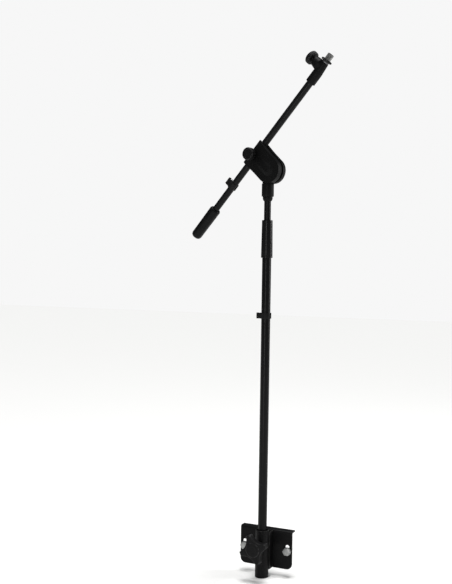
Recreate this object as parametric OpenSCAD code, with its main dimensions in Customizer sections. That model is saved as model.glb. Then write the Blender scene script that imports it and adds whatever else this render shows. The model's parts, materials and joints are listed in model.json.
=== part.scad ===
// Boom microphone stand on a bracket that bolts to the edge of a stage deck.
// Origin: midway between the two deck bolts, on the plate's rear face.
// +X runs right along the deck's edge, +Y goes into the deck, +Z is up.
// The boom's parts are drawn along their own axes: u along the boom, n square to it in the
// boom's plane, v across that plane, and boom_frame() puts them in place.

/* [Deck bracket] */
// Width of the bracket plate along the deck's edge
plate_w = 138; // [130:1:170]
// Height of the bracket plate
plate_h = 94; // [84:1:110]
// Thickness of the folded steel plate
plate_t = 4; // [3:0.5:5]
// Depth of the lip that rests on top of the deck
lip_depth = 16; // [10:1:30]
// Radius of the plate's lower corners
plate_corner_r = 14; // [4:1:16]
// Distance from the plate's top edge down to the bolts
bolt_drop = 49; // [42:1:52]
// Distance between the two deck bolts
bolt_spacing = 114; // [104:1:118]
// Diameter of the deck bolts' shanks
bolt_d = 10; // [8:1:10]
// Height of the bolts' adjusting slots, end to end
slot_h = 21; // [20:1:36]

/* [Socket] */
// Outer diameter of the socket tube
socket_d = 33; // [31:0.5:36]
// Wall thickness of the socket tube
socket_wall = 3; // [2:0.5:3.5]
// Length of the socket tube
socket_len = 115.5; // [100:0.5:140]
// Distance from the plate's front face to the pole's axis
socket_offset = 24; // [22:1:30]
// Width of the welded channel between plate and socket
channel_w = 37; // [36:0.5:40]
// Height of the clamping screw above the deck bolts
clamp_z = 16; // [8:1:24]
// Diameter of the star knob over its lobes
star_d = 76; // [70:1:80]

/* [Pole] */
// Outer diameter of the pole's lower tube
pole_d = 22; // [21:0.5:23]
// Outer diameter of the rod that rises out of the pole
rod_d = 16.5; // [15:0.5:17]
// Height of the clutch grip's lower end above the socket
grip_rise = 666; // [500:1:800]
// Length of the clutch grip
grip_len = 91.5; // [88:0.5:100]
// Length of rod showing above the clutch grip
rod_shown = 46.5; // [46:0.5:120]
// Height of the pole's cable clip above the socket
clip_rise = 525; // [100:1:600]

/* [Boom] */
// Tilt of the boom above level
boom_tilt = 46.7; // [10:0.1:80]
// Turn of the boom's plane about the pole
boom_yaw = -10.5; // [-45:0.5:45]
// Outer diameter of the boom's tube
boom_d = 17; // [16:0.5:18]
// Length of boom below the clamp's centre
boom_low = 274; // [270:1:400]
// Length of boom above the clamp's centre, up to its end sleeve's rim
boom_high = 275; // [270:1:400]
// Distance from the tilt pivot to the boom's axis
boom_offset = 61; // [58:0.5:66]
// Sideways distance from the pole's axis to the tilt pivot
pivot_offset = 10.25; // [6:0.25:12]
// Radius of the clamp shells round the tilt pivot
shell_r = 31.5; // [30:0.5:33]
// Half the width of the clamp shells where they hold the boom
shell_end = 34; // [33:0.5:38]
// Diameter of the clamp's round knob
boom_knob_d = 31; // [28:0.5:34]
// Diameter of the end sleeve's round knob
sleeve_knob_d = 33; // [28:0.5:34]

/* [Hidden] */
$fn = 72;
// Radial clearance of a running fit, and the gap left between loose neighbours
fit = 0.05;
gap = 0.3;
// A little more than nothing, for cuts that run past a face
eps = 0.5;

plate_top = bolt_drop;
slot_w = bolt_d + 1;
rim_z = plate_top + 3;
socket_z = rim_z - socket_len;
socket_r = socket_d / 2;
bore_r = socket_r - socket_wall;
pole_y = -(plate_t + socket_offset);
channel_wall = 3;
washer_t = 2;
washer_r = 10;
bolt_head_h = 6.4;
bolt_head_af = 17;
stud_len = 19;
shank_r = bolt_d / 2 - 0.3;

pole_r = pole_d / 2;
pole_wall = 1.5;
pole_bore_r = pole_r - pole_wall;
rod_r = rod_d / 2;
rod_wall = 1.5;
rod_len = 760;

// Clamping screw of the socket: distances are out from the pole's axis
clamp_boss_end = socket_r + 9;
clamp_screw_r = 5;
clamp_pad_r = 6;
clamp_pad_t = 2.8;
clamp_travel = 2;
star_back = 40;
star_face = 60;
star_lobes = 4;
star_turn = 22;

// Heights along the pole
grip_z = rim_z + grip_rise;
grip_top = grip_z + grip_len;
tube_top = grip_z + 34;
seat_z = grip_top - 33.5;
seat_h = 12;
collet_top = seat_z + seat_h + 5;
collar_z = grip_top + rod_shown;
collar_h = 11;
hub_z = collar_z + collar_h;
hub_r = 14.75;
hub_h = 30.6;
hub_top = hub_z + hub_h;
rod_in_hub = 22;
rod_top = hub_z + rod_in_hub;
pivot_z = hub_top + shell_r + gap + 0.2;

// Clamp shells: v runs away from the knob's side
front_face = -18;
front_gap = -4;
rear_gap = 4;
rear_face = 14.5;
tongue_t = 5.6;
tongue_r = 24;
washer_gap = 0.1;
spine_r = 17;
spine_face = -27;
flare_n = 28;
curl_shift = 1.4;
pivot_bolt_r = 4;
pivot_head_r = 6.5;
pivot_head_h = 8;
pivot_boss_face = 20;
shell_screw_u = 24;
shell_screw_n = 33;
shell_screw_r = 2.5;
shell_screw_head_r = 4.5;

// Round clamp knobs: distances are out from the boom's axis
sleeve_knob_t = 12;
knob_u = -3;
boom_knob_t = 15.5;
boom_knob_face = 39;
screw_r = 4;
pad_r = 4.5;
pad_t = 2.5;
sleeve_knob_face = 43.5;

boom_r = boom_d / 2;
boom_bore_r = boom_r - 1.3;
inner_r = 6.25;
weight_len = 94;
weight_cap_t = 6;
weight_r = 14.1;
sleeve_r = 12;
sleeve_tip_r = 9.2;
sleeve_len = 57;
sleeve_straight = 27;
sleeve_boss_h = 24.5;
sleeve_low = boom_high - sleeve_len;
sleeve_knob_u = boom_high - 13;
boom_tube_end = boom_high - 4;
inner_len = 400;
boom_clip_u = -102.5;
head_end = boom_high + 4.2;
locknut_t = 3;
stud_r = 4.76;
thread_r = 7.94;
adapter_low = head_end + locknut_t + 1.8;
adapter_len = 14;

clip_h = 14;
boom_clip_h = 17;
clip_wall = 2.3;
hook_r = 5.6;
hook_bore_r = 3.6;

// ---- Frames and shared shapes ----

// Puts its children on the pole's axis
module pole_frame() {
    translate([0, pole_y, 0]) children();
}

// Turns its children into the boom's plane, with X across the pole's axis in that plane
module plane_frame() {
    pole_frame() rotate([0, 0, boom_yaw]) children();
}

// Puts its children at the tilt pivot: X is u, Y is v, Z is n
module boom_frame() {
    plane_frame() translate([pivot_offset, 0, pivot_z]) rotate([0, -boom_tilt, 0]) children();
}

// Puts its children on the boom's axis, above the pivot
module boom_axis() {
    boom_frame() translate([0, 0, boom_offset]) children();
}

// Pipe of outer radius r and bore radius b, from height z0 to z1
module pipe(r, b, z0, z1) {
    translate([0, 0, z0]) difference() {
        cylinder(r = r, h = z1 - z0);
        translate([0, 0, -eps]) cylinder(r = b, h = z1 - z0 + 2 * eps);
    }
}

// Rod of radius r from height z0 to z1
module rod(r, z0, z1) {
    translate([0, 0, z0]) cylinder(r = r, h = z1 - z0);
}

// Turns a shape drawn along Z so that it runs along u
module along_u() {
    rotate([0, 90, 0]) children();
}

// Turns a shape drawn along Z so that it runs towards the knob's side, -v
module to_front() {
    rotate([90, 0, 0]) children();
}

// Extrudes an outline in u and n from v0 to v1
module across(v0, v1) {
    translate([0, v1, 0]) rotate([90, 0, 0]) linear_extrude(v1 - v0) children();
}

// Hexagon of width af across its flats
module hexagon(af) {
    circle(r = af / 2 / cos(30), $fn = 6);
}

// ---- Bracket ----

module plate_outline() {
    r = plate_corner_r;
    low = plate_top - plate_h;
    translate([-plate_w / 2, low + r]) square([plate_w, plate_h - r]);
    translate([-plate_w / 2 + r, low]) square([plate_w - 2 * r, plate_h]);
    for (side = [-1, 1]) translate([side * (plate_w / 2 - r), low + r]) circle(r);
}

module slot_outline() {
    half = slot_w / 2;
    translate([-half, 0]) square([slot_w, slot_h - slot_w]);
    circle(half);
    translate([0, slot_h - slot_w]) circle(half);
}

// Section of the plate and its lip, in Y and Z, with a rounded fold
module plate_section() {
    low = plate_top - plate_h;
    fold_r = plate_t + 1.5;
    difference() {
        union() {
            translate([-plate_t, low]) square([plate_t, plate_h - fold_r]);
            translate([-plate_t + fold_r, plate_top - plate_t]) square([lip_depth - fold_r + plate_t, plate_t]);
            translate([-plate_t + fold_r, plate_top - fold_r]) intersection() {
                circle(fold_r);
                translate([-fold_r, 0]) square(fold_r);
            }
        }
        translate([-plate_t + fold_r, plate_top - fold_r]) circle(fold_r - plate_t);
    }
}

module bracket_plate() color("#1b1b1d") difference() {
    intersection() {
        rotate([90, 0, 90]) translate([0, 0, -plate_w / 2]) linear_extrude(plate_w) plate_section();
        across(-plate_t - eps, lip_depth + eps) plate_outline();
    }
    for (side = [-1, 1])
        translate([side * bolt_spacing / 2, 0, 0]) across(-plate_t - eps, eps) slot_outline();
}

module spacer_channel() color("#1b1b1d") difference() {
    low = plate_top - plate_h;
    high = plate_top - 2;
    flange_depth = socket_offset - 4;
    translate([-channel_w / 2, -plate_t - flange_depth, low])
        cube([channel_w, flange_depth, high - low]);
    translate([-channel_w / 2 + channel_wall, -plate_t - flange_depth - eps, low - eps])
        cube([channel_w - 2 * channel_wall, flange_depth - channel_wall + eps, high - low + 2 * eps]);
    pole_frame() rod(socket_r, low - eps, high + eps);
}

module socket_tube() color("#1b1b1d") pole_frame() difference() {
    pipe(socket_r, bore_r, socket_z, rim_z);
    translate([0, 0, clamp_z]) to_front() rod(clamp_pad_r + 0.2, bore_r - 4, socket_r + eps);
}

module socket_liner() color("#101010") pole_frame() difference() {
    pipe(bore_r, pole_r + fit, socket_z + 5, rim_z - 3);
    translate([0, 0, clamp_z]) to_front() rod(clamp_pad_r + 0.2, pole_r - 3, bore_r + eps);
}

module clamp_boss() color("#1b1b1d") pole_frame() difference() {
    translate([0, 0, clamp_z]) to_front() rod(9.5, bore_r, clamp_boss_end);
    translate([0, 0, clamp_z]) to_front() rod(clamp_screw_r + fit, 0, clamp_boss_end + eps);
    translate([0, 0, clamp_z]) to_front() rod(clamp_pad_r + 0.2, 0, pole_r + gap + clamp_pad_t + clamp_travel + 0.6);
    rod(socket_r, clamp_z - 15, clamp_z + 15);
}

module deck_bolts() color("#b9bab8") for (side = [-1, 1])
    translate([side * bolt_spacing / 2, 0, 0]) {
        across(-plate_t - washer_t - bolt_head_h, -plate_t - washer_t) hexagon(bolt_head_af);
        across(-plate_t - washer_t, 0) circle(shank_r);
        across(0, stud_len) circle(bolt_d / 2);
    }

module deck_washers() color("#c6c7c4") for (side = [-1, 1])
    translate([side * bolt_spacing / 2, 0, 0]) across(-plate_t - washer_t, -plate_t) difference() {
        circle(washer_r);
        circle(bolt_d / 2 + 0.25);
    }

// ---- Star knob, its screw and the pad that presses on the pole ----

module star_outline() {
    step = 360 / star_lobes;
    difference() {
        circle(star_d / 2);
        for (i = [0 : star_lobes - 1]) rotate(90 + star_turn + (i + 0.5) * step)
            translate([star_d * 0.74, 0]) circle(star_d * 0.45);
    }
}

module star_knob() color("#151516") pole_frame() translate([0, 0, clamp_z]) difference() {
    union() {
        across(-star_face + 1.5, -star_back) star_outline();
        to_front() rod(18, star_back, star_face);
        to_front() rod(11, clamp_boss_end + 4, star_back + eps);
    }
    to_front() rod(clamp_screw_r, 0, star_face - 6);
}

module star_knob_screw() color("#8f9090") pole_frame() translate([0, 0, clamp_z])
    to_front() rod(clamp_screw_r, pole_r + gap + clamp_pad_t, star_face - 6);

module socket_pad() color("#c9a24a") pole_frame() translate([0, 0, clamp_z])
    to_front() rod(clamp_pad_r, pole_r + gap, pole_r + gap + clamp_pad_t);

// ---- Pole ----

module lower_tube() color("#1a1a1c") pole_frame()
    pipe(pole_r, pole_bore_r, socket_z + 4, tube_top);

module pole_end_plug() color("#101010") pole_frame() {
    rod(pole_r, socket_z + 1, socket_z + 4);
    rod(pole_bore_r, socket_z + 4, socket_z + 19);
}

module clutch_body() color("#202022") pole_frame() difference() {
    union() {
        rod(pole_bore_r, grip_z + 4, tube_top);
        rod(pole_r, tube_top, seat_z + seat_h);
    }
    rod(rod_r + 0.55, grip_z, seat_z + seat_h + eps);
    translate([0, 0, seat_z]) cylinder(r1 = rod_r + 0.55, r2 = rod_r + 1.95, h = seat_h);
}

module clutch_collet() color("#e0ddd2") pole_frame() difference() {
    union() {
        translate([0, 0, seat_z]) cylinder(r1 = rod_r + 0.55, r2 = rod_r + 1.95, h = seat_h);
        rod(rod_r + 2.35, seat_z + seat_h, collet_top);
    }
    rod(rod_r + fit, seat_z - eps, collet_top + eps);
    translate([0, -0.75, seat_z - eps]) cube([20, 1.5, seat_h + 6]);
}

module clutch_nut() color("#2a2a2c") pole_frame() difference() {
    rod(pole_r + 1.4, grip_z, grip_top - 2.5);
    rod(pole_r + fit, grip_z - eps, collet_top + gap);
    rod(rod_r + 0.5, collet_top, grip_top);
}

module clutch_grip() color("#161617") pole_frame() difference() {
    translate([0, 0, grip_z]) cylinder(r1 = 14.1, r2 = 12.9, h = grip_len);
    rod(pole_r + 1.4, grip_z - eps, grip_top - 2.5);
    rod(rod_r + 0.6, grip_top - 5, grip_top + eps);
}

// ---- Cable clips: a snap-on ring with a cable hook beyond it, towards -X ----

module cable_clip(shaft_r, height, reach) {
    ring_r = shaft_r + fit + clip_wall;
    hook_x = -(reach - hook_r);
    mouth = shaft_r * 0.55;
    translate([0, 0, -height / 2]) linear_extrude(height) difference() {
        union() {
            circle(ring_r);
            translate([hook_x, 0]) circle(hook_r);
            translate([hook_x, -hook_r]) square([-hook_x - shaft_r, hook_r]);
        }
        circle(shaft_r + fit);
        translate([0, -mouth]) square([ring_r + eps, 2 * mouth]);
        translate([hook_x, 0]) circle(hook_bore_r);
        translate([hook_x - hook_bore_r * 0.55, 0]) square([hook_bore_r * 1.1, hook_r + eps]);
    }
}

module pole_cable_clip() color("#1c1c1d") pole_frame()
    translate([0, 0, rim_z + clip_rise]) cable_clip(pole_r, clip_h, pole_r + 13.6);

module boom_cable_clip() color("#1c1c1d") boom_axis()
    translate([boom_clip_u, 0, 0]) rotate([0, 90, 0]) cable_clip(boom_r, boom_clip_h, boom_r + 15);

// ---- Rising rod and hub ----

module upper_rod() color("#1a1a1c") pole_frame()
    pipe(rod_r, rod_r - rod_wall, rod_top - rod_len, rod_top);

module rod_guide_bush() color("#e0ddd2") pole_frame()
    pipe(pole_bore_r - fit, rod_r, rod_top - rod_len, rod_top - rod_len + 25);

module hub_collar() color("#161617") pole_frame() difference() {
    union() {
        translate([0, 0, collar_z]) cylinder(r1 = 10, r2 = 12, h = 5);
        rod(12, collar_z + 5, hub_z);
    }
    rod(rod_r, collar_z - eps, hub_z + eps);
}

module tongue_outline() {
    translate([pivot_offset, pivot_z]) circle(tongue_r);
    polygon([
        [-hub_r + 0.4, hub_top + 6],
        [-hub_r + 0.4, hub_top - 6],
        [hub_r - 1.5, hub_top - 6],
        [pivot_offset + tongue_r * cos(20), pivot_z - tongue_r * sin(20)],
        [pivot_offset - tongue_r * cos(20), pivot_z + tongue_r * sin(20)]
    ]);
}

module swivel_hub() color("#1b1b1c") plane_frame() difference() {
    union() {
        rod(hub_r, hub_z, hub_top);
        across(-tongue_t / 2, tongue_t / 2) tongue_outline();
    }
    rod(rod_r, hub_z - eps, rod_top);
    translate([pivot_offset, 0, pivot_z]) to_front() rod(pivot_bolt_r + fit, -tongue_t, tongue_t);
}

module friction_washers() color("#3a3a3a") plane_frame() translate([pivot_offset, 0, pivot_z])
    for (side = [-1, 1]) {
        inner = tongue_t / 2;
        outer = rear_gap - washer_gap;
        v0 = side > 0 ? inner : -outer;
        across(v0, v0 + outer - inner) difference() {
            circle(tongue_r - 3);
            circle(pivot_bolt_r + gap);
        }
    }

// ---- Clamp shells ----

module shell_outline() {
    circle(shell_r);
    polygon([
        [-shell_r, 0], [shell_r, 0], [shell_r, flare_n], [shell_end, boom_offset + 15],
        [-shell_end, boom_offset + 15], [-shell_r, flare_n]
    ]);
}

// Side view of one shell, in n and v: its far end curls round the boom
module shell_section(face, inner_face) {
    depth = abs(face - inner_face);
    low = min(face, inner_face);
    curl_n = boom_offset - curl_shift;
    translate([-shell_r - eps, low]) square([curl_n + shell_r + eps, depth]);
    intersection() {
        translate([curl_n, inner_face]) circle(depth);
        translate([curl_n - eps, low]) square([depth + eps, depth]);
    }
}

module shell_solid(face, inner_face) intersection() {
    across(min(face, inner_face), max(face, inner_face)) shell_outline();
    translate([-shell_end - eps, 0, 0]) multmatrix([[0, 0, 1, 0], [0, 1, 0, 0], [1, 0, 0, 0], [0, 0, 0, 1]])
        linear_extrude(2 * shell_end + 2 * eps) shell_section(face, inner_face);
}

module boom_channel() {
    translate([-shell_end - 2 * eps, 0, boom_offset]) along_u() cylinder(r = boom_r + fit, h = 2 * shell_end + 4 * eps);
}

// Raised spine of the front shell: tall at the pivot, sloping down to the knob
module spine() intersection() {
    across(spine_face, front_face + eps) {
        circle(spine_r);
        translate([-spine_r, 0]) square([2 * spine_r, boom_offset - 12]);
    }
    translate([-spine_r, 0, 0]) multmatrix([[0, 0, 1, 0], [0, 1, 0, 0], [1, 0, 0, 0], [0, 0, 0, 1]])
        linear_extrude(2 * spine_r) polygon([
            [-spine_r, front_face + eps], [-spine_r, spine_face + 1], [-spine_r + 8, spine_face],
            [18, spine_face], [boom_offset - 14, -20], [boom_offset - 12, front_face + eps]
        ]);
}

module front_shell() color("#1d1d1f") boom_frame() difference() {
    union() {
        shell_solid(front_face, front_gap);
        spine();
        translate([knob_u, 0, boom_offset]) to_front() rod(10, -front_face - eps, -front_face + 3);
        for (side = [-1, 1]) translate([side * shell_screw_u, 0, shell_screw_n])
            to_front() rod(5, 0, -front_gap + eps);
    }
    boom_channel();
    translate([knob_u, 0, boom_offset]) {
        to_front() rod(screw_r + fit, 0, 24);
        to_front() rod(pad_r + 0.1, 0, boom_r + gap + pad_t + 2);
    }
    to_front() rod(pivot_bolt_r, 0, 22);
    for (side = [-1, 1]) translate([side * shell_screw_u, 0, shell_screw_n])
        to_front() rod(shell_screw_r, -eps, 14);
}

module rear_shell() color("#1d1d1f") boom_frame() difference() {
    union() {
        shell_solid(rear_face, rear_gap);
        to_front() rod(12, -pivot_boss_face, -rear_face + eps);
        for (side = [-1, 1]) translate([side * shell_screw_u, 0, shell_screw_n])
            to_front() rod(5, -rear_gap - eps, 0);
    }
    boom_channel();
    to_front() rod(pivot_bolt_r, -pivot_boss_face, 0);
    to_front() rod(pivot_head_r + 0.6, -pivot_boss_face - eps, -pivot_boss_face + pivot_head_h + 1.2);
    for (side = [-1, 1]) translate([side * shell_screw_u, 0, shell_screw_n]) {
        to_front() rod(shell_screw_r, -rear_face, eps);
        to_front() rod(shell_screw_head_r + 0.3, -rear_face - eps, -rear_face + 4.5);
    }
}

module pivot_bolt() color("#9a9b9b") boom_frame() difference() {
    union() {
        to_front() rod(pivot_bolt_r, -pivot_boss_face + pivot_head_h, 22);
        to_front() rod(pivot_head_r, -pivot_boss_face, -pivot_boss_face + pivot_head_h);
    }
    across(pivot_boss_face - 4, pivot_boss_face + eps) hexagon(6);
}

module pivot_spring_washer() color("#8c8d8d") boom_frame() to_front()
    pipe(pivot_head_r, pivot_bolt_r, -pivot_boss_face + pivot_head_h, -pivot_boss_face + pivot_head_h + 1.2);

module shell_screws() color("#8c8d8d") boom_frame() for (side = [-1, 1])
    translate([side * shell_screw_u, 0, shell_screw_n]) difference() {
        union() {
            to_front() rod(shell_screw_r, -rear_face + 4.5, 14);
            to_front() rod(shell_screw_head_r, -rear_face + 0.5, -rear_face + 4.5);
        }
        across(rear_face - 3, rear_face + eps) hexagon(4);
    }

// ---- Round clamp knobs, each with its screw and pad ----

// Knob of radius r and rim thickness t drawn along Z, from its neck up to its face
module round_knob(r, t, neck, face) {
    difference() {
        rotate_extrude() polygon([
            [0, neck], [7.5, neck], [7.5, face - t], [r - 1.5, face - t],
            [r, face - t + 1.5], [r, face - 2], [r - 2, face], [0, face]
        ]);
        rod(screw_r, neck - eps, face - 4);
    }
}

module boom_knob_place() {
    boom_axis() translate([knob_u, 0, 0]) to_front() children();
}

module sleeve_knob_place() {
    boom_axis() translate([sleeve_knob_u, 0, 0]) children();
}

module boom_knob() color("#2b2b2c") boom_knob_place()
    round_knob(boom_knob_d / 2, boom_knob_t, -front_face + 3.6, boom_knob_face);

module boom_knob_screw() color("#8f9090") boom_knob_place()
    rod(screw_r, boom_r + gap + pad_t, boom_knob_face - 4);

module boom_pad() color("#c9a24a") boom_knob_place()
    rod(pad_r, boom_r + gap, boom_r + gap + pad_t);

module sleeve_knob() color("#2b2b2c") sleeve_knob_place()
    round_knob(sleeve_knob_d / 2, sleeve_knob_t, sleeve_boss_h + 0.5, sleeve_knob_face);

module sleeve_knob_screw() color("#8f9090") sleeve_knob_place()
    rod(screw_r, inner_r + gap + pad_t, sleeve_knob_face - 4);

module sleeve_pad() color("#c9a24a") sleeve_knob_place()
    rod(pad_r, inner_r + gap, inner_r + gap + pad_t);

// ---- Boom ----

module boom_tube() color("#1a1a1c") boom_axis() difference() {
    along_u() pipe(boom_r, boom_bore_r, -boom_low + weight_cap_t, boom_tube_end);
    translate([sleeve_knob_u, 0, 0]) rod(pad_r + 0.1, inner_r - 1, boom_r + eps);
}

module counterweight() color("#171718") boom_axis() difference() {
    high = -boom_low + weight_len;
    along_u() {
        translate([0, 0, -boom_low + weight_cap_t])
            cylinder(r1 = weight_r - 0.8, r2 = weight_r, h = weight_len - weight_cap_t - 3);
        translate([0, 0, high - 3]) cylinder(r1 = weight_r, r2 = weight_r - 2, h = 3);
    }
    along_u() rod(boom_r, -boom_low, high + eps);
    translate([high - 14, 0, 0]) rotate([90, 0, 0]) rod(3, boom_r - 1, 15);
}

module counterweight_cap() color("#101011") boom_axis() along_u() {
    rotate_extrude() polygon([
        [0, -boom_low], [9.5, -boom_low], [12.2, -boom_low + 2.7], [12.6, -boom_low + weight_cap_t],
        [0, -boom_low + weight_cap_t]
    ]);
    rod(boom_bore_r, -boom_low + weight_cap_t, -boom_low + weight_cap_t + 12);
}

module counterweight_screw() color("#8c8d8d") boom_axis()
    translate([-boom_low + weight_len - 14, 0, 0]) rotate([90, 0, 0]) difference() {
        rod(3, boom_r, weight_r - 0.9);
        translate([0, 0, 10]) linear_extrude(4) hexagon(3);
    }

module end_sleeve() color("#1b1b1c") boom_axis() difference() {
    union() {
        along_u() rod(sleeve_r, sleeve_low, sleeve_low + sleeve_straight);
        translate([sleeve_low + sleeve_straight, 0, 0]) along_u()
            cylinder(r1 = sleeve_r, r2 = sleeve_tip_r, h = sleeve_len - sleeve_straight);
        translate([sleeve_knob_u, 0, 0]) rotate_extrude() polygon([
            [0, 0], [sleeve_r - 1, 0], [15, 9], [12.3, sleeve_boss_h], [0, sleeve_boss_h]
        ]);
    }
    along_u() rod(boom_r, sleeve_low - eps, boom_tube_end);
    along_u() rod(inner_r + fit, boom_tube_end - eps, boom_high + 5);
    translate([boom_high, -20, -20]) cube([20, 40, 60]);
    translate([sleeve_knob_u, 0, 0]) {
        rod(pad_r + 0.1, 0, inner_r + gap + pad_t + 2);
        rod(screw_r + fit, 0, sleeve_boss_h + eps);
    }
}

// ---- Telescoping rod and microphone thread ----

module inner_rod() color("#1e1e20") boom_axis() along_u()
    pipe(inner_r, inner_r - 1.2, boom_high + gap - inner_len, boom_high + gap);

module inner_rod_bush() color("#e0ddd2") boom_axis() along_u()
    pipe(boom_bore_r - fit, inner_r, boom_high + gap - inner_len, boom_high + gap - inner_len + 20);

module rod_head() color("#4a4a4b") boom_axis() along_u() {
    rod(8.6, boom_high + gap, head_end);
    rod(inner_r - 1.2, boom_high + gap - 25, boom_high + gap);
}

module thread_stud() color("#8f9090") boom_axis() along_u()
    rod(stud_r, head_end, adapter_low + adapter_len - 1);

module lock_ring() color("#131314") boom_axis() along_u()
    pipe(13.75, stud_r + fit, head_end + 0.1, head_end + locknut_t);

module thread_adapter() color("#b4b5b3") boom_axis() along_u() difference() {
    rod(thread_r, adapter_low, adapter_low + adapter_len);
    rod(stud_r, adapter_low - eps, adapter_low + adapter_len - 1);
    translate([-10, -0.8, adapter_low + adapter_len - 1.6]) cube([20, 1.6, 3]);
}

bracket_plate();
spacer_channel();
socket_tube();
socket_liner();
clamp_boss();
deck_bolts();
deck_washers();
star_knob();
star_knob_screw();
socket_pad();
lower_tube();
pole_end_plug();
clutch_body();
clutch_collet();
clutch_nut();
clutch_grip();
pole_cable_clip();
upper_rod();
rod_guide_bush();
hub_collar();
swivel_hub();
friction_washers();
front_shell();
rear_shell();
pivot_bolt();
pivot_spring_washer();
shell_screws();
boom_knob();
boom_knob_screw();
boom_pad();
boom_tube();
counterweight();
counterweight_cap();
counterweight_screw();
end_sleeve();
boom_cable_clip();
sleeve_knob();
sleeve_knob_screw();
sleeve_pad();
inner_rod();
inner_rod_bush();
rod_head();
thread_stud();
lock_ring();
thread_adapter();
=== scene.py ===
"""Looks of the boom microphone stand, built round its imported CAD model. Every length is in metres."""

import json
import math

import bmesh
import bpy
from mathutils import Matrix, Vector


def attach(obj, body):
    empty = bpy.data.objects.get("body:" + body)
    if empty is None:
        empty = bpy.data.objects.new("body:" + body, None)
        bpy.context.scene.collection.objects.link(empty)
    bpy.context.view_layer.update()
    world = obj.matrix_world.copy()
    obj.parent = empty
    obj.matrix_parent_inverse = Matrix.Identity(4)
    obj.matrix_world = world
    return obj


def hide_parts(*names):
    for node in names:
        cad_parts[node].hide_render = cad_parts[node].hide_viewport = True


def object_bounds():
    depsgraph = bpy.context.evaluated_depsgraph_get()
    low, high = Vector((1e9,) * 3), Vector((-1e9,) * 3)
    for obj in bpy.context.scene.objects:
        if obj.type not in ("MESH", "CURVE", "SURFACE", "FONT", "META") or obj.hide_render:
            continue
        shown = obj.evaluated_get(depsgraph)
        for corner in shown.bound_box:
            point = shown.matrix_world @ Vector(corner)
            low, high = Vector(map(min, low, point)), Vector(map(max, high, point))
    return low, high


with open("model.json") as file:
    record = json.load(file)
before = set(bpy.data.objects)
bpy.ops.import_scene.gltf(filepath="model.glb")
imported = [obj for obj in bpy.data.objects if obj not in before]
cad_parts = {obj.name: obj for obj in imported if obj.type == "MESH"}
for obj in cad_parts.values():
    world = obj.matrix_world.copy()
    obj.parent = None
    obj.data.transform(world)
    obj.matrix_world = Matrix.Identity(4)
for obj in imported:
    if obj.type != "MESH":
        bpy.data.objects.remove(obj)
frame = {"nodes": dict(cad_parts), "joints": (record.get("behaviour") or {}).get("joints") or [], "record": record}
CAD_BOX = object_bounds()
NODES = frame["nodes"]
JOINTS = {j["name"]: j for j in frame["joints"]}
MM = 0.001

# ---- Places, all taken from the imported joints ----

UP = Vector((0, 0, 1))
RIGHT = Vector((1, 0, 0))
ALONG = Vector(JOINTS["boom_slide"]["axis"])
OUT = Vector(JOINTS["sleeve_pad_travel"]["axis"])
FRONT = Vector(JOINTS["boom_tilt"]["axis"])
PIVOT = Vector(JOINTS["boom_tilt"]["pos_m"])
POLE = Vector(JOINTS["pole_turn"]["pos_m"])


def placed(origin, z_axis, x_axis):
    """The matrix of a frame at origin whose Z is z_axis and whose X leans to x_axis."""
    z = z_axis.normalized()
    x = (x_axis - z * x_axis.dot(z)).normalized()
    matrix = Matrix((x, z.cross(x), z)).transposed().to_4x4()
    matrix.translation = origin
    return matrix


def on_line(point, direction, near):
    """The point of a line that is nearest to another point."""
    return point + direction * direction.dot(near - point)


BOOM_FOOT = on_line(Vector(JOINTS["lock_ring_turn"]["pos_m"]), ALONG, PIVOT)
POLE_AT = placed(POLE, UP, RIGHT)
BOOM_AT = placed(BOOM_FOOT, ALONG, OUT)
CLAMP_AT = placed(PIVOT, OUT, ALONG)
HUB_AT = placed(POLE, UP, -FRONT.cross(UP))
STAR_POINT = Vector(JOINTS["star_knob_turn"]["pos_m"])
STAR_AT = placed(Vector((POLE.x, POLE.y, STAR_POINT.z)), -Vector((0, 1, 0)), RIGHT)
KNOB_POINT = Vector(JOINTS["boom_knob_turn"]["pos_m"])
BOOM_KNOB_AT = placed(on_line(KNOB_POINT, FRONT, BOOM_FOOT), FRONT, ALONG)
SLEEVE_POINT = Vector(JOINTS["sleeve_knob_turn"]["pos_m"])
SLEEVE_KNOB_AT = placed(on_line(SLEEVE_POINT, OUT, BOOM_FOOT), OUT, ALONG)


def span(node, place):
    """Lowest and highest corner of a CAD node, measured in a frame."""
    inverse = place.inverted()
    points = [inverse @ v.co for v in NODES[node].data.vertices]
    low = Vector([min(p[i] for p in points) for i in range(3)])
    high = Vector([max(p[i] for p in points) for i in range(3)])
    return low, high


# ---- Camera, set as the photographer's stood ----

CAMERA_LENS = 56.4
CAMERA_AZIMUTH = math.radians(26.0)
CAMERA_PITCH = math.radians(1.43)
CAMERA_ROLL = math.radians(0.87)
CAMERA_DEPTH = 2.229
CAMERA_LEFT = 0.0979
CAMERA_HEIGHT = 0.689


def make_camera():
    """A camera that looks almost level at the pole, which stands a little right of its middle."""
    ahead = Vector((-math.sin(CAMERA_AZIMUTH), math.cos(CAMERA_AZIMUTH), 0))
    right = Vector((math.cos(CAMERA_AZIMUTH), math.sin(CAMERA_AZIMUTH), 0))
    look = ahead * math.cos(CAMERA_PITCH) - UP * math.sin(CAMERA_PITCH)
    top = right.cross(look)
    turned_right = right * math.cos(CAMERA_ROLL) + top * math.sin(CAMERA_ROLL)
    turned_top = top * math.cos(CAMERA_ROLL) - right * math.sin(CAMERA_ROLL)
    data = bpy.data.cameras.new("camera")
    data.lens = CAMERA_LENS
    data.sensor_width = 36
    camera = bpy.data.objects.new("camera", data)
    bpy.context.scene.collection.objects.link(camera)
    matrix = Matrix((turned_right, turned_top, -look)).transposed().to_4x4()
    matrix.translation = POLE + UP * CAMERA_HEIGHT - ahead * CAMERA_DEPTH - right * CAMERA_LEFT
    camera.matrix_world = matrix
    bpy.context.scene.camera = camera


# ---- Materials ----

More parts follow.
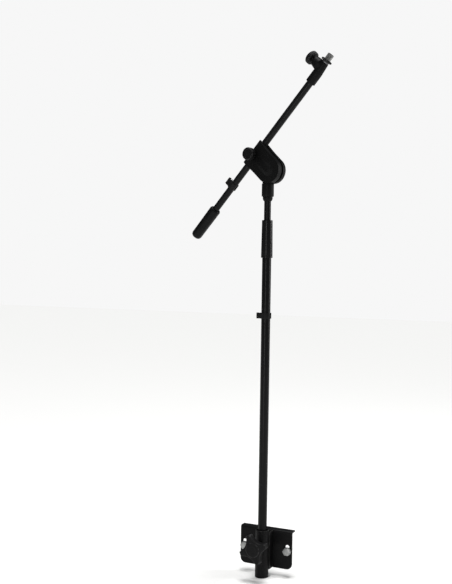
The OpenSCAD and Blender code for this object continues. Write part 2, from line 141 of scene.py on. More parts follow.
# Blender's Pointiness where edges start to lighten and where they are fully lightened, and the colours that it
# brings out: partly rubbed-through paint, partly painted highlight along the edges.
WEAR_AND_HIGHLIGHT_FROM = 0.515
WEAR_AND_HIGHLIGHT_FULL = 0.54
RUBBED_PAINT_AND_HIGHLIGHT = (0.16, 0.16, 0.155)
RUBBED_PLASTIC_AND_HIGHLIGHT = (0.1, 0.1, 0.1)


class Shader:
    """A material's node tree with short helpers. Textures are laid in each piece's own frame."""

    def __init__(self, name, cad=False):
        self.material = bpy.data.materials.new(name)
        self.material.use_nodes = True
        self.tree = self.material.node_tree
        self.main = self.tree.nodes["Principled BSDF"]
        if cad:
            self.space = self.add("ShaderNodeTexCoord").outputs["Object"]
        else:
            attribute = self.add("ShaderNodeAttribute")
            attribute.attribute_name = "local"
            self.space = attribute.outputs["Vector"]

    def add(self, kind, **sockets):
        node = self.tree.nodes.new(kind)
        for name, value in sockets.items():
            self.put(node, name, value)
        return node

    def put(self, node, name, value):
        socket = node.inputs[name.replace("_", " ")] if isinstance(name, str) else node.inputs[name]
        if isinstance(value, bpy.types.NodeSocket):
            self.tree.links.new(value, socket)
        else:
            socket.default_value = value

    def stretched(self, stretch):
        """The piece's coordinates, scaled, so that a texture can run along the piece."""
        mapping = self.add("ShaderNodeMapping")
        self.put(mapping, 0, self.space)
        mapping.inputs["Scale"].default_value = stretch
        return mapping.outputs[0]

    def noise(self, scale, detail=3, rough=0.55, stretch=(1, 1, 1)):
        node = self.add("ShaderNodeTexNoise", Vector=self.stretched(stretch), Scale=scale)
        self.put(node, "Detail", detail)
        self.put(node, "Roughness", rough)
        return node.outputs["Fac"]

    def between(self, fac, low, high, to_low=0.0, to_high=1.0):
        """Maps fac from one range to another and clamps it."""
        node = self.add("ShaderNodeMapRange")
        for index, value in enumerate((fac, low, high, to_low, to_high)):
            self.put(node, index, value)
        return node.outputs[0]

    def math(self, operation, a, b):
        node = self.add("ShaderNodeMath")
        node.operation = operation
        self.put(node, 0, a)
        self.put(node, 1, b)
        return node.outputs[0]

    def mix(self, fac, a, b):
        node = self.add("ShaderNodeMixRGB")
        for name, value in (("Fac", fac), ("Color1", a), ("Color2", b)):
            if name != "Fac" and not isinstance(value, bpy.types.NodeSocket):
                value = (*value, 1)
            self.put(node, name, value)
        return node.outputs[0]

    def edges(self):
        """1 on rounded outward edges and 0 elsewhere, broken up so that the lightening looks uneven; the
        lightening is partly rubbed edges and partly painted highlight.
        """
        geometry = self.add("ShaderNodeNewGeometry")
        rounded = self.add("ShaderNodeAttribute")
        rounded.attribute_name = "rounded"
        rub_and_highlight = self.between(geometry.outputs["Pointiness"], WEAR_AND_HIGHLIGHT_FROM, WEAR_AND_HIGHLIGHT_FULL)
        rub_and_highlight = self.math("MULTIPLY", rub_and_highlight, rounded.outputs["Fac"])
        return self.math("MULTIPLY", rub_and_highlight, self.between(self.noise(260), 0.42, 0.6))

    def bump(self, height, strength, distance):
        return self.add("ShaderNodeBump", Height=height, Strength=strength, Distance=distance)

    def done(self, colour, rough, normal=None, metallic=0.0, specular=0.5):
        if not isinstance(colour, bpy.types.NodeSocket):
            colour = (*colour, 1)
        self.put(self.main, "Base Color", colour)
        self.put(self.main, "Roughness", rough)
        self.main.inputs["Metallic"].default_value = metallic
        self.main.inputs["Specular IOR Level"].default_value = specular
        if normal is not None:
            self.put(self.main, "Normal", normal.outputs[0])
        return self.material


def scaled(colour, factor):
    return tuple(min(1, c * factor) for c in colour)


def paint(name, colour, rough, grain, peel, wear_and_highlight, specular, streaks=0.0):
    """Black paint on steel: peel is its orange-peel height, streaks are rub marks along the piece."""
    s = Shader(name)
    patches = s.noise(14, 4)
    base = s.mix(s.between(patches, 0.3, 0.7), scaled(colour, 0.8), scaled(colour, 1.35))
    dust = s.between(s.noise(900, 2), 0.66, 0.8, 0, 0.5)
    base = s.mix(dust, base, scaled(colour, 3.0))
    # Rounded edges are lightened: partly rubbed-through paint, partly painted highlight.
    base = s.mix(s.math("MULTIPLY", s.edges(), wear_and_highlight), base, RUBBED_PAINT_AND_HIGHLIGHT)
    shine = s.between(patches, 0.3, 0.7, rough - 0.04, rough + 0.06)
    height = s.noise(grain, 3)
    if streaks:
        rub = s.noise(420, 3, 0.6, (1, 1, 0.035))
        shine = s.math("SUBTRACT", shine, s.between(rub, 0.55, 0.75, 0, streaks))
    bump = s.bump(height, 0.5, peel)
    return s.done(base, shine, bump, specular=specular)


def moulded(name, colour, rough, grain, depth, specular, wear_and_highlight):
    """Moulded plastic with a fine spark-eroded texture and a little rubbed sheen."""
    s = Shader(name)
    cloud = s.noise(30, 3)
    base = s.mix(s.between(cloud, 0.35, 0.7), scaled(colour, 0.85), scaled(colour, 1.3))
    specks = s.between(s.noise(1500, 2), 0.62, 0.75, 0, 0.35)
    base = s.mix(specks, base, scaled(colour, 2.6))
    # Rounded edges are lightened: partly rubbed plastic, partly painted highlight.
    base = s.mix(s.math("MULTIPLY", s.edges(), wear_and_highlight), base, RUBBED_PLASTIC_AND_HIGHLIGHT)
    shine = s.between(cloud, 0.35, 0.7, rough + 0.05, rough - 0.05)
    cells = s.add("ShaderNodeTexVoronoi", Vector=s.space, Scale=grain).outputs["Distance"]
    bump = s.bump(s.math("ADD", cells, s.noise(grain * 0.6, 2)), 0.4, depth)
    return s.done(base, shine, bump, specular=specular)


def metal(name, colour, rough, brush=(1, 1, 1), tarnish=0.3):
    """Plated or turned metal. brush stretches its fine lines along or round the piece."""
    s = Shader(name)
    cloud = s.noise(90, 4)
    stain = s.between(cloud, 0.45, 0.75, 0, tarnish)
    base = s.mix(stain, colour, scaled(colour, 0.55))
    lines = s.noise(700, 3, 0.6, brush)
    shine = s.between(lines, 0.3, 0.7, rough - 0.07, rough + 0.1)
    bump = s.bump(lines, 0.25, 0.02 * MM)
    return s.done(base, shine, bump, metallic=1.0)


def plain(name, colour, rough, metallic=0.0):
    """For the sealed inner parts, which keep their CAD meshes."""
    s = Shader(name, cad=True)
    cloud = s.noise(60, 3)
    base = s.mix(s.between(cloud, 0.35, 0.65), scaled(colour, 0.85), scaled(colour, 1.1))
    bump = s.bump(s.noise(800, 2), 0.2, 0.02 * MM)
    return s.done(base, s.between(cloud, 0.3, 0.7, rough, rough + 0.1), bump, metallic=metallic)


POWDER = paint(
    "powder_coat", (0.004, 0.004, 0.0042), rough=0.42, grain=700, peel=0.05 * MM, wear_and_highlight=0.45, specular=0.08
)
TUBE = paint(
    "tube_paint", (0.006, 0.006, 0.0062), rough=0.24, grain=420, peel=0.004 * MM, wear_and_highlight=0.1, specular=0.09,
    streaks=0.04,
)
CAST = paint(
    "cast_paint", (0.003, 0.003, 0.0031), rough=0.5, grain=1100, peel=0.03 * MM, wear_and_highlight=0.2, specular=0.08
)
WEIGHT = paint(
    "weight_coat", (0.004, 0.004, 0.0043), rough=0.36, grain=900, peel=0.02 * MM, wear_and_highlight=0.15, specular=0.09,
    streaks=0.08,
)
KNOB = moulded(
    "knob_plastic", (0.005, 0.005, 0.0052), rough=0.42, grain=1300, depth=0.05 * MM, specular=0.1, wear_and_highlight=0.4
)
SOFT = moulded(
    "soft_plastic", (0.006, 0.006, 0.0062), rough=0.5, grain=1600, depth=0.04 * MM, specular=0.12, wear_and_highlight=0.1
)
GRIP = moulded(
    "grip_plastic", (0.006, 0.006, 0.0062), rough=0.26, grain=1500, depth=0.004 * MM, specular=0.12, wear_and_highlight=0.1
)
ZINC = metal("zinc_plate", (0.34, 0.345, 0.34), rough=0.42, tarnish=0.6)
SCREW = metal("screw_steel", (0.42, 0.42, 0.42), rough=0.36, brush=(1, 1, 0.1))
NICKEL = metal("nickel_plate", (0.17, 0.17, 0.167), rough=0.5, brush=(1, 1, 8), tarnish=0.2)
DARK_STEEL = metal("dark_steel", (0.1, 0.1, 0.105), rough=0.4, brush=(1, 1, 8))

# ---- Mesh helpers ----

# In degrees: the angle up to which an edge is shaded smooth, and the one from which it is rounded off.
SMOOTH_UP_TO = 40
ROUND_FROM = 30


def keep_local(mesh):
    """Keeps a mesh's own coordinates for its textures, and lets all its edges be lightened, partly as rubbed edges
    and partly as painted highlight.
    """
    local = mesh.attributes.new("local", "FLOAT_VECTOR", "POINT")
    local.data.foreach_set("vector", [c for v in mesh.vertices for c in v.co])
    if "rounded" not in mesh.attributes:
        rounded = mesh.attributes.new("rounded", "FLOAT", "FACE")
        rounded.data.foreach_set("value", [1.0] * len(mesh.polygons))


def add_object(name, mesh, place, material):
    """Puts a mesh drawn in its own frame into the world."""
    keep_local(mesh)
    mesh.transform(place)
    mesh.materials.clear()
    mesh.materials.append(material)
    obj = bpy.data.objects.new(name, mesh)
    bpy.context.scene.collection.objects.link(obj)
    return obj


def settle(obj, body, slot, *nodes):
    """Says which body a piece rides on and which CAD nodes it stands for. slot is not used."""
    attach(obj, body)
    if nodes:
        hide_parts(*nodes)
    return obj


def filleted(points, closed):
    """Rounds the corners of an outline. Each point is (x, y, radius), and radius 0 stays sharp."""
    steps = 5
    out = []
    count = len(points)
    for i, (x, y, radius) in enumerate(points):
        here = Vector((x, y))
        if radius <= 0 or (not closed and i in (0, count - 1)):
            out.append(here)
            continue
        before = Vector(points[i - 1][:2]) - here
        after = Vector(points[(i + 1) % count][:2]) - here
        half = before.angle(after) / 2
        reach = min(radius / math.tan(half), before.length * 0.48, after.length * 0.48)
        start = here + before.normalized() * reach
        end = here + after.normalized() * reach
        for k in range(steps + 1):
            t = k / steps
            out.append(start * (1 - t) ** 2 + here * 2 * t * (1 - t) + end * t * t)
    return out


def turned_mesh(name, points, closed=False, segments=96, wave=None):
    """Revolves an outline of (radius, height, fillet) points about Z. wave(angle, r, z) may change r."""
    outline = filleted(points, closed)
    verts, faces, rings = [], [], []
    for p in outline:
        if p.x < 1e-7:
            rings.append([len(verts)])
            verts.append((0, 0, p.y))
            continue
        rings.append([len(verts) + k for k in range(segments)])
        for k in range(segments):
            angle = 2 * math.pi * k / segments
            r = wave(angle, p.x, p.y) if wave else p.x
            verts.append((r * math.cos(angle), r * math.sin(angle), p.y))
    pairs = list(zip(rings, rings[1:])) + ([(rings[-1], rings[0])] if closed else [])
    for a, b in pairs:
        for k in range(segments):
            n = (k + 1) % segments
            quad = [a[k % len(a)], a[n % len(a)], b[n % len(b)], b[k % len(b)]]
            face = list(dict.fromkeys(quad))
            if len(face) > 2:
                faces.append(face)
    mesh = bpy.data.meshes.new(name)
    mesh.from_pydata(verts, [], faces)
    tidy_mesh(mesh)
    return mesh


def tidy_mesh(mesh, sharp=SMOOTH_UP_TO):
    """Turns the faces outwards and shades the mesh smooth up to an angle."""
    bm = bmesh.new()
    bm.from_mesh(mesh)
    bmesh.ops.recalc_face_normals(bm, faces=bm.faces)
    bm.to_mesh(mesh)
    bm.free()
    mesh.shade_smooth()
    mesh.set_sharp_from_angle(angle=math.radians(sharp))
    mesh.update()


def turned(name, points, place, material, closed=False, segments=96, wave=None):
    return add_object(name, turned_mesh(name, points, closed, segments, wave), place, material)


def pipe_points(r_out, r_in, z0, z1, fillet):
    """Outline of a pipe with rounded rims, for a closed turned piece."""
    return [(r_out, z0, fillet), (r_out, z1, fillet), (r_in, z1, fillet), (r_in, z0, fillet)]


def evaluated(rough):
    """The mesh that an object comes to with its modifiers. The object itself is removed."""
    bpy.context.scene.collection.objects.link(rough)
    graph = bpy.context.evaluated_depsgraph_get()
    mesh = bpy.data.meshes.new_from_object(rough.evaluated_get(graph))
    bpy.data.objects.remove(rough)
    return mesh


def softened(name, node, place, material, width, segments=3, trim_y=None):
    """A copy of a CAD node with its sharp edges rounded off, and those marked, since only they are lightened,
    partly as rubbed edges and partly as painted highlight.

    trim_y cuts away all that lies before it.
    """
    mesh = NODES[node].data.copy()
    mesh.transform(place.inverted())
    bm = bmesh.new()
    bm.from_mesh(mesh)
    bmesh.ops.remove_doubles(bm, verts=bm.verts, dist=2e-6)
    if trim_y is not None:
        geometry = [*bm.verts, *bm.edges, *bm.faces]
        cut = bmesh.ops.bisect_plane(
            bm, geom=geometry, plane_co=(0, trim_y, 0), plane_no=(0, -1, 0), clear_outer=True
        )
        rim = [e for e in cut["geom_cut"] if isinstance(e, bmesh.types.BMEdge)]
        bmesh.ops.triangle_fill(bm, edges=rim, use_beauty=True)
        bmesh.ops.recalc_face_normals(bm, faces=bm.faces)
    flat = math.radians(0.4)
    bmesh.ops.dissolve_limit(bm, angle_limit=flat, verts=bm.verts, edges=bm.edges)
    bm.to_mesh(mesh)
    bm.free()
    mesh.materials.clear()
    for _ in range(2):
        mesh.materials.append(material)
    mesh.polygons.foreach_set("material_index", [0] * len(mesh.polygons))
    rough = bpy.data.objects.new(name + "_rough", mesh)
    bevel = rough.modifiers.new("round", "BEVEL")
    bevel.material = 1
    bevel.width = width
    bevel.segments = segments
    bevel.limit_method = "ANGLE"
    bevel.angle_limit = math.radians(ROUND_FROM)
    bevel.miter_outer = "MITER_ARC"
    bevel.use_clamp_overlap = True
    made = evaluated(rough)
    rounded = made.attributes.new("rounded", "FLOAT", "FACE")
    rounded.data.foreach_set("value", [float(p.material_index) for p in made.polygons])
    made.polygons.foreach_set("material_index", [0] * len(made.polygons))
    made.shade_smooth()
    made.set_sharp_from_angle(angle=math.radians(SMOOTH_UP_TO))
    return add_object(name, made, place, material)


def plate_mesh(name, outlines, depth, bevel, steps):
    """A flat part with rounded edges, from closed outlines in X and Y, centred on Z = 0."""
    curve = bpy.data.curves.new(name, "CURVE")
    curve.dimensions = "2D"
    curve.fill_mode = "BOTH"
    curve.extrude = depth / 2 - bevel
    curve.bevel_depth = bevel
    curve.bevel_resolution = steps
    curve.offset = -bevel
    for outline in outlines:
        spline = curve.splines.new("POLY")
        spline.points.add(len(outline) - 1)
        for point, (x, y) in zip(spline.points, outline):
            point.co = (x, y, 0, 1)
        spline.use_cyclic_u = True
    mesh = evaluated(bpy.data.objects.new(name + "_rough", curve))
    bm = bmesh.new()
    bm.from_mesh(mesh)
    bmesh.ops.remove_doubles(bm, verts=bm.verts, dist=1e-6)
    bmesh.ops.recalc_face_normals(bm, faces=bm.faces)
    bm.to_mesh(mesh)
    bm.free()
    mesh.shade_smooth()
    mesh.set_sharp_from_angle(angle=math.radians(SMOOTH_UP_TO))
    return mesh


def joined(mesh, others):
    """Adds closed shells to a mesh, as one piece."""
    bm = bmesh.new()
    for m in (mesh, *others):
        bm.from_mesh(m)
    bm.to_mesh(mesh)
    bm.free()
    return mesh


def thread_mesh(name, r, depth, pitch, z0, z1, segments=72):
    """A screw thread's outer surface with closed ends, cut depth deep below r."""
    per_turn = 8
    rows = int((z1 - z0) / pitch * per_turn)
    verts, faces = [], []
    for i in range(rows + 1):
        z = z0 + (z1 - z0) * i / rows
        ends = min(1, (z - z0) / pitch, (z1 - z) / pitch)
        for k in range(segments):
            phase = (z / pitch - k / segments) % 1
            cut = depth * abs(2 * phase - 1)
            radius = r - depth + (depth - cut) * ends
            angle = 2 * math.pi * k / segments
            verts.append((radius * math.cos(angle), radius * math.sin(angle), z))
    for i in range(rows):
        for k in range(segments):
            a, b = i * segments + k, i * segments + (k + 1) % segments
            faces.append((a, b, b + segments, a + segments))
    for ring, z in ((0, z0), (rows, z1)):
        centre = len(verts)
        verts.append((0, 0, z))
        for k in range(segments):
            faces.append((ring * segments + k, ring * segments + (k + 1) % segments, centre))
    mesh = bpy.data.meshes.new(name)
    mesh.from_pydata(verts, [], faces)
    tidy_mesh(mesh, 60)
    return mesh


# ---- Bracket ----


def make_bracket():
    rounding = {"bracket_plate": 0.5, "spacer_channel": 0.6, "clamp_boss": 0.5}
    for node, width in rounding.items():
        obj = softened(node + "_look", node, Matrix.Identity(4), POWDER, width * MM)
        settle(obj, "bracket", "bracket_paint", node)
    low, high = span("socket_tube", POLE_AT)
    inner, _ = span("socket_liner", POLE_AT)
    points = pipe_points(high.x, -inner.x, low.z, high.z, 0.7 * MM)
    tube = turned("socket_tube_look", points, POLE_AT, POWDER, closed=True)
    settle(tube, "bracket", "bracket_paint", "socket_tube")
    bore = span("lower_tube", POLE_AT)[1].x + 0.1 * MM
    low, high = span("socket_liner", POLE_AT)
    points = pipe_points(high.x - 0.02 * MM, bore, low.z, high.z, 0.5 * MM)
    liner = turned("socket_liner_look", points, POLE_AT, SOFT, closed=True)
    settle(liner, "bracket", "soft_plastic", "socket_liner")
    bolts = softened("deck_bolts_look", "deck_bolts", Matrix.Identity(4), ZINC, 0.5 * MM)
    settle(bolts, "bracket", "zinc", "deck_bolts")
    washers = softened("deck_washers_look", "deck_washers", Matrix.Identity(4), ZINC, 0.3 * MM)
    settle(washers, "bracket", "zinc", "deck_washers")


STAR_LOBES = 4
STAR_TURN = math.radians(22)


def star_outline(radius):
    """Four narrow lobes with wide hollows between them."""
    points = []
    steps = 36
    valley_r = radius * 0.9
    centre = radius * 1.48
    blend = 24
    for lobe in range(STAR_LOBES):
        for k in range(steps):
            turn = 2 * math.pi * (lobe + k / steps) / STAR_LOBES
            off = 2 * math.pi * (k / steps - 0.5) / STAR_LOBES
            across = centre * math.sin(abs(off))
            hollow = radius
            if across < valley_r:
                hollow = centre * math.cos(off) - math.sqrt(valley_r ** 2 - across ** 2)
            soft = (radius ** -blend + min(hollow, radius * 1.3) ** -blend) ** (-1 / blend)
            angle = turn + math.pi / 2 + STAR_TURN
            points.append((soft * math.cos(angle), soft * math.sin(angle)))
    return points


def make_star_knob():
    low, high = span("star_knob", STAR_AT)
    radius = max(high.x, high.y, -low.x, -low.y)
    rim = 1.5 * MM
    body_back = high.z - 20 * MM
    seat = body_back + 1 * MM
    body = plate_mesh("star", [star_outline(radius)], high.z - rim - body_back, 2.4 * MM, 6)
    body.transform(Matrix.Translation((0, 0, (high.z - rim + body_back) / 2)))
    centre = turned_mesh("star_face", [
        (0, seat, 0), (17 * MM, seat, 0), (17.5 * MM, high.z - rim, 0),
        (15.5 * MM, high.z, 1.5 * MM), (9 * MM, high.z, 1 * MM), (8 * MM, high.z - 0.6 * MM, 1 * MM),
        (0, high.z - 0.6 * MM, 0),
    ])
    neck = turned_mesh("star_neck", [
        (0, low.z, 0), (11 * MM, low.z, 1 * MM), (12.5 * MM, seat, 1 * MM), (0, seat, 0),
    ])
    mesh = joined(body, [centre, neck])
    settle(add_object("star_knob_look", mesh, STAR_AT, KNOB), "star_knob", "knob_plastic", "star_knob")


# ---- Pole ----


def make_tube(node, place, body, r_in):
    low, high = span(node, place)
    points = pipe_points(high.x, r_in, low.z, high.z, 0.3 * MM)
    tube = turned(node + "_look", points, place, TUBE, closed=True, segments=128)
    settle(tube, body, "tube_paint", node)


def make_grip():
    """The height clutch's smooth sleeve, which tapers upwards and has a groove above its foot."""
    low, high = span("clutch_grip", POLE_AT)
    foot, top = high.x, high.x - 1.2 * MM
    groove = low.z + 6 * MM
    lip = high.z - 3 * MM
    inner = foot - 1.75 * MM
    bore = span("upper_rod", POLE_AT)[1].x + 0.6 * MM
    points = [
        (inner, low.z, 0.3 * MM), (foot, low.z, 0.8 * MM), (foot - 0.1 * MM, groove, 0.3 * MM),
        (foot - 0.5 * MM, groove + 0.5 * MM, 0.2 * MM), (foot - 0.15 * MM, groove + 1 * MM, 0.3 * MM),
        (top, high.z, 1.2 * MM), (bore, high.z, 0.4 * MM), (bore, lip, 0), (inner, lip, 0),
    ]
    grip = turned("clutch_grip_look", points, POLE_AT, GRIP, closed=True, segments=128)
    settle(grip, "height_grip", "soft_plastic", "clutch_grip")


def make_pole():
    """The lower tube, the grip on top of it, and the rod that rises out of both."""
    rod_r = span("upper_rod", POLE_AT)[1].x
    room_round_rod, rod_wall = 1.25 * MM, 1.5 * MM
    make_tube("lower_tube", POLE_AT, "pole", rod_r + room_round_rod)
    make_grip()
    make_tube("upper_rod", POLE_AT, "mast", rod_r - rod_wall)


def make_hub():
    low, high = span("hub_collar", POLE_AT)
    r = high.x
    rod = span("upper_rod", POLE_AT)[1].x + 0.02 * MM
    collar = turned("hub_collar_look", [
        (rod, low.z, 0), (r - 2.2 * MM, low.z, 0.6 * MM), (r, low.z + 5 * MM, 1 * MM),
        (r, high.z - 0.6 * MM, 0.3 * MM), (r - 0.6 * MM, high.z, 0), (rod, high.z, 0),
    ], POLE_AT, CAST, closed=True)
    settle(collar, "mast", "cast_paint", "hub_collar")
    hub = softened("swivel_hub_look", "swivel_hub", HUB_AT, CAST, 0.9 * MM)
    settle(hub, "mast", "cast_paint", "swivel_hub")


# ---- Boom clamp ----


SPINE_HALF = 17 * MM
SPINE_HEIGHT = 9 * MM
SPINE_END = 50 * MM
SPINE_LEVEL = 6 * MM
MOUND_HEIGHT = SPINE_HEIGHT * 0.55
CREST = 0.25


def spine_mesh(face_y):
    """The front shell's raised spine: a soft mound, highest at the pivot, that fades out to the knob."""
    across, along = 36, 60
    verts, faces = [], []
    rim_y, back_y = face_y + 0.4 * MM, face_y + 1 * MM
    for front in (True, False):
        for i in range(along + 1):
            z = -SPINE_HALF + (SPINE_END + SPINE_HALF) * i / along
            for k in range(across + 1):
                x = SPINE_HALF * (2 * k / across - 1)
                reach = math.hypot(x, min(z, 0)) / SPINE_HALF
                flank = min(1, max(0, (reach - CREST) / (1 - CREST)))
                slope = 1 - min(1, max(0, (z - SPINE_LEVEL) / (SPINE_END - SPINE_LEVEL)))
                height = MOUND_HEIGHT * (0.5 + 0.5 * math.cos(math.pi * flank)) * slope
                verts.append((x, rim_y - height if front else back_y, z))
    row = across + 1
    layer = row * (along + 1)
    for i in range(along):
        for k in range(across):
            a = i * row + k
            faces.append((a, a + 1, a + row + 1, a + row))
            faces.append((layer + a, layer + a + row, layer + a + row + 1, layer + a + 1))
    border = [*range(row), *[i * row + across for i in range(1, along + 1)]]
    border += [along * row + k for k in range(across - 1, -1, -1)]
    border += [i * row for i in range(along - 1, 0, -1)]
    for a, b in zip(border, border[1:] + border[:1]):
        faces.append((a, layer + a, layer + b, b))
    mesh = bpy.data.meshes.new("spine")
    mesh.from_pydata(verts, [], faces)
    tidy_mesh(mesh, 60)
    return mesh


def make_shells():
    face_y = span("front_shell", CLAMP_AT)[0].y + SPINE_HEIGHT
    trim_y = face_y + 0.02 * MM
    shell = softened("front_shell_look", "front_shell", CLAMP_AT, CAST, 2.6 * MM, 5, trim_y)
    spine = spine_mesh(face_y)
    low, _ = span("boom_knob", BOOM_KNOB_AT)
    boss_r, boss_back, boss_face = 10 * MM, low.z - 5 * MM, low.z - 1 * MM
    boss = turned_mesh("boss", [
        (0, boss_back, 0), (boss_r, boss_back, 0), (boss_r, boss_face, 0.8 * MM), (0, boss_face, 0),
    ])
    for mesh, place in ((spine, CLAMP_AT), (boss, BOOM_KNOB_AT)):
        keep_local(mesh)
        mesh.transform(place)
    joined(shell.data, [spine, boss])
    settle(shell, "clamp", "cast_paint", "front_shell")
    shell = softened("rear_shell_look", "rear_shell", CLAMP_AT, CAST, 1.0 * MM, 4)
    settle(shell, "clamp", "cast_paint", "rear_shell")
    for node in ("pivot_bolt", "shell_screws"):
        settle(softened(node + "_look", node, CLAMP_AT, SCREW, 0.4 * MM), "clamp", "screw_steel", node)


def round_knob_mesh(name, node, place, thick):
    """A turned knob with a fluted rim, a dished face and a neck."""
    low, high = span(node, place)
    r = high.x
    neck_r = 7.5 * MM
    back = high.z - thick
    teeth = 36

    def knurl(angle, radius, z):
        if radius < r - 1.2 * MM:
            return radius
        return radius - 0.5 * MM * (0.5 + 0.5 * math.cos(teeth * angle))

    rim = [(r, back + 1.6 * MM + (high.z - back - 3.6 * MM) * i / 6, 0) for i in range(7)]
    return turned_mesh(name, [
        (0, low.z, 0), (neck_r, low.z, 0.5 * MM), (neck_r, back, 0.8 * MM), (r - 1.6 * MM, back, 0.5 * MM),
        *rim, (r - 2.2 * MM, high.z, 0.8 * MM), (r - 4.5 * MM, high.z, 0.5 * MM),
        (r - 5.2 * MM, high.z - 0.7 * MM, 0.5 * MM), (0, high.z - 0.4 * MM, 0),
    ], segments=teeth * 6, wave=knurl)


def make_round_knobs():
    for node, place, thick in (("boom_knob", BOOM_KNOB_AT, 15.5), ("sleeve_knob", SLEEVE_KNOB_AT, 12)):
        mesh = round_knob_mesh(node + "_look", node, place, thick * MM)
        settle(add_object(node + "_look", mesh, place, KNOB), node, "knob_plastic", node)


# ---- Boom ----


def make_boom():
    tube_r = span("boom_tube", BOOM_AT)[1].y
    tube_wall = 1.3 * MM
    make_tube("boom_tube", BOOM_AT, "boom", tube_r - tube_wall)
    low, high = span("counterweight", BOOM_AT)
    r = high.x
    weight = turned("counterweight_look", [
        (tube_r, low.z, 0), (r - 0.65 * MM, low.z, 0.6 * MM), (r, high.z - 3.4 * MM, 0.8 * MM),
        (r - 2 * MM, high.z, 0.8 * MM), (tube_r, high.z, 0.3 * MM),
    ], BOOM_AT, WEIGHT, closed=True, segments=128)
    settle(weight, "boom", "weight_coat", "counterweight")
    low, high = span("counterweight_cap", BOOM_AT)
    r = high.x
    top = low.z + 6 * MM
    stem_r = 6 * MM
    cap = turned("counterweight_cap_look", [
        (0, low.z, 0), (5 * MM, low.z + 0.05 * MM, 0), (9.5 * MM, low.z + 0.3 * MM, 1.5 * MM),
        (r - 0.5 * MM, low.z + 2.8 * MM, 1.5 * MM), (r, top, 0.3 * MM),
        (stem_r, top, 0), (stem_r, high.z, 0.5 * MM), (0, high.z, 0),
    ], BOOM_AT, SOFT)
    settle(cap, "boom", "soft_plastic", "counterweight_cap")
    sleeve = softened("end_sleeve_look", "end_sleeve", BOOM_AT, CAST, 0.8 * MM)
    settle(sleeve, "boom", "cast_paint", "end_sleeve")


STUD_PITCH = 25.4 / 16 * MM
ADAPTER_PITCH = 25.4 / 27 * MM


def make_rod_end():
    """The inner rod and what stands on its end: head, locking ring, stud and adapter."""
    inner_r = span("inner_rod", BOOM_AT)[1].x
    inner_wall = 1.2 * MM
    make_tube("inner_rod", BOOM_AT, "inner_boom", inner_r - inner_wall)
    bore_r = 4.9 * MM
    low, high = span("rod_head", BOOM_AT)
    r = high.x
    neck = high.z - 3.9 * MM
    head = turned("rod_head_look", [
        (0, low.z, 0), (bore_r, low.z, 0), (bore_r, neck, 0), (r, neck, 0.5 * MM), (r, high.z, 0.5 * MM),
        (0, high.z, 0),
    ], BOOM_AT, DARK_STEEL)
    settle(head, "inner_boom", "head_metal", "rod_head")
    low, high = span("lock_ring", BOOM_AT)
    teeth = 30
    r = high.x

    def knurl(angle, radius, z):
        if radius < r - 0.4 * MM:
            return radius
        return radius - 0.35 * MM * (0.5 + 0.5 * math.cos(teeth * angle))

    points = pipe_points(r, bore_r, low.z, high.z, 0.6 * MM)
    ring = turned("lock_ring_look", points, BOOM_AT, KNOB, closed=True, segments=teeth * 6, wave=knurl)
    settle(ring, "lock_ring", "knob_plastic", "lock_ring")
    low, high = span("thread_stud", BOOM_AT)
    stud = thread_mesh("stud", high.x, 0.6 * MM, STUD_PITCH, low.z, high.z)
    settle(add_object("thread_stud_look", stud, BOOM_AT, SCREW), "inner_boom", "screw_steel", "thread_stud")
    low, high = span("thread_adapter", BOOM_AT)
    adapter = thread_mesh("adapter", high.x, 0.3 * MM, ADAPTER_PITCH, low.z, high.z, 96)
    obj = add_object("thread_adapter_look", adapter, BOOM_AT, NICKEL)
    settle(obj, "inner_boom", "adapter_metal", "thread_adapter")


def make_clips():
    for node, place, body in (
        ("pole_cable_clip", POLE_AT, "pole_clip"),
        ("boom_cable_clip", BOOM_AT, "boom_clip"),
    ):
        clip = softened(node + "_look", node, place, SOFT, 0.5 * MM)
        settle(clip, body, "soft_plastic", node)


# ---- Everything that keeps its CAD mesh ----

INNER = {
    "bush_nylon": plain("nylon", (0.72, 0.70, 0.63), 0.45),
    "pad_brass": plain("brass", (0.66, 0.48, 0.22), 0.35, 1.0),
    "friction_fibre": plain("fibre", (0.05, 0.048, 0.045), 0.7),
    "screw_steel": plain("inner_steel", (0.40, 0.40, 0.40), 0.38, 1.0),
    "cast_paint": plain("inner_cast", (0.015, 0.015, 0.016), 0.5),
    "knob_plastic": plain("inner_plastic", (0.02, 0.02, 0.021), 0.5),
    "soft_plastic": plain("inner_soft_plastic", (0.015, 0.015, 0.016), 0.6),
}


def finish_inner_nodes():
    slots = {s["node"]: s["material_slot"] for s in frame["record"]["subparts"]}
    for name, obj in NODES.items():
        if obj.hide_render:
            continue
        material = INNER[slots[name]]
        obj.data.materials.clear()
        obj.data.materials.append(material)


# ---- Floor and light ----

FLOOR_DROP = 0.5 * MM


def make_stage():
    paper = Shader("floor_paper").done((0.80, 0.80, 0.79), 0.7, specular=0.2)
    size = 12
    mesh = bpy.data.meshes.new("floor")
    corners = [(-size, -size, 0), (size, -size, 0), (size, size, 0), (-size, size, 0)]
    mesh.from_pydata(corners, [], [(0, 1, 2, 3)])
    place = Matrix.Translation((0, 0, CAD_BOX[0].z - FLOOR_DROP))
    floor = add_object("floor", mesh, place, paper)


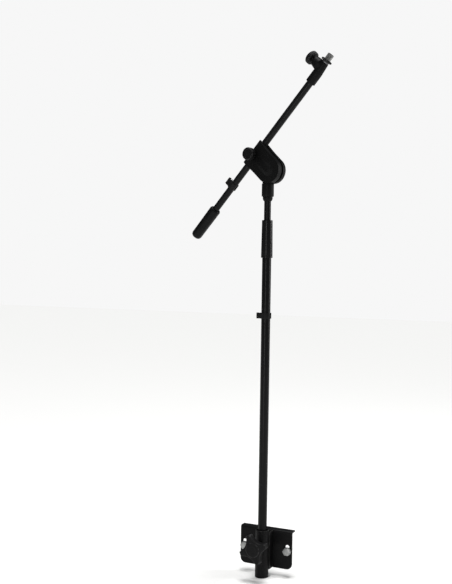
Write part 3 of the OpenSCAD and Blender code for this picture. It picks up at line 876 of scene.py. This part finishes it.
def area_light(name, towards, distance, width, height, power):
    """A soft light panel that shines on the middle of the stand from a direction."""
    centre = (CAD_BOX[0] + CAD_BOX[1]) / 2
    direction = Vector(towards).normalized()
    data = bpy.data.lights.new(name, "AREA")
    data.shape = "RECTANGLE"
    data.size = width
    data.size_y = height
    data.energy = power
    light = bpy.data.objects.new(name, data)
    bpy.context.scene.collection.objects.link(light)
    light.location = centre + direction * distance
    light.rotation_euler = direction.to_track_quat("Z", "Y").to_euler()


def make_light():
    area_light("key", (1.0, 0.6, 0.4), distance=2.4, width=0.7, height=1.8, power=40)
    area_light("strip", (0.1, -1.0, 0.1), distance=2.6, width=0.2, height=1.8, power=16)
    area_light("fill", (-0.9, -0.8, 0.8), distance=2.8, width=1.6, height=1.6, power=5)
    sun = bpy.data.lights.new("overhead", "SUN")
    sun.energy = 3.62
    sun.angle = math.radians(25)
    bpy.context.scene.collection.objects.link(bpy.data.objects.new("overhead", sun))


def make_world():
    """A bright background for the camera, which hardly lights the stand."""
    world = bpy.data.worlds.new("studio")
    world.use_nodes = True
    tree = world.node_tree
    seen = tree.nodes["Background"]
    seen.inputs["Color"].default_value = (0.93, 0.93, 0.93, 1)
    seen.inputs["Strength"].default_value = 1.0
    lit = tree.nodes.new("ShaderNodeBackground")
    lit.inputs["Color"].default_value = (0.95, 0.97, 1.0, 1)
    lit.inputs["Strength"].default_value = 0.07
    path = tree.nodes.new("ShaderNodeLightPath")
    choice = tree.nodes.new("ShaderNodeMixShader")
    tree.links.new(path.outputs["Is Camera Ray"], choice.inputs[0])
    tree.links.new(lit.outputs[0], choice.inputs[1])
    tree.links.new(seen.outputs[0], choice.inputs[2])
    tree.links.new(choice.outputs[0], tree.nodes["World Output"].inputs["Surface"])
    bpy.context.scene.world = world
    bpy.context.scene.view_settings.view_transform = "Standard"


make_camera()
make_bracket()
make_star_knob()
make_pole()
make_hub()
make_shells()
make_round_knobs()
make_boom()
make_rod_end()
make_clips()
finish_inner_nodes()
make_stage()
make_light()
make_world()
